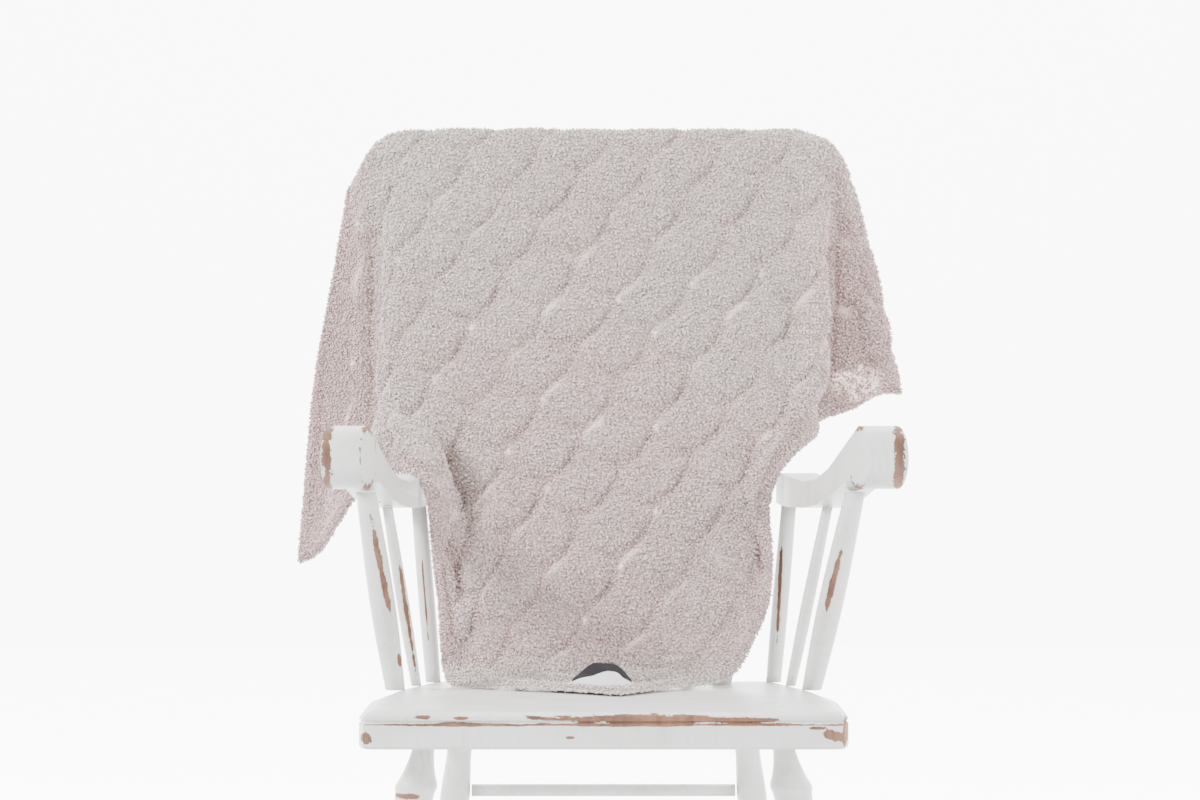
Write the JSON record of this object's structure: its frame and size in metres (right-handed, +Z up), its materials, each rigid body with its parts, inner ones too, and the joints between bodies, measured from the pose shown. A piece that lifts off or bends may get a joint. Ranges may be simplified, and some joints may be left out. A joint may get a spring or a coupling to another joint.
{
  "type": "cable knit blanket over a wooden armchair",
  "caption": "fluffy cable knit throw hung cornerwise over the back of a plain white painted wooden armchair, one corner on the seat",
  "frame": {"origin": "on the floor under the middle of the whole object's box", "axes": "+Z up, +Y from the front of the chair to its back, +X along the crest rail to the viewer's right"},
  "size_m": [0.7322, 0.6858, 1.1005],
  "materials": {
    "knit": "fluffy chenille cable knit, light grey beige",
    "satin": "smooth white satin, bare",
    "wood": "worn white paint over brown wood"
  },
  "bodies": {
    "root": {"blanket": "knit", "label": "satin", "seat": "wood", "leg_front_left": "wood", "leg_front_right": "wood", "leg_rear_left": "wood", "leg_rear_right": "wood", "stretcher_rear": "wood", "stretcher_front": "wood", "stretcher_left": "wood", "stretcher_right": "wood", "arm_left": "wood", "arm_right": "wood", "arm_post_front_left": "wood", "arm_post_front_right": "wood", "arm_post_middle_left": "wood", "arm_post_middle_right": "wood", "arm_post_rear_left": "wood", "arm_post_rear_right": "wood", "crest_rail": "wood", "back_stile_left": "wood", "back_stile_right": "wood", "back_spindle_1": "wood", "back_spindle_2": "wood", "back_spindle_3": "wood", "back_spindle_4": "wood", "back_spindle_5": "wood"}
  },
  "joints": []
}
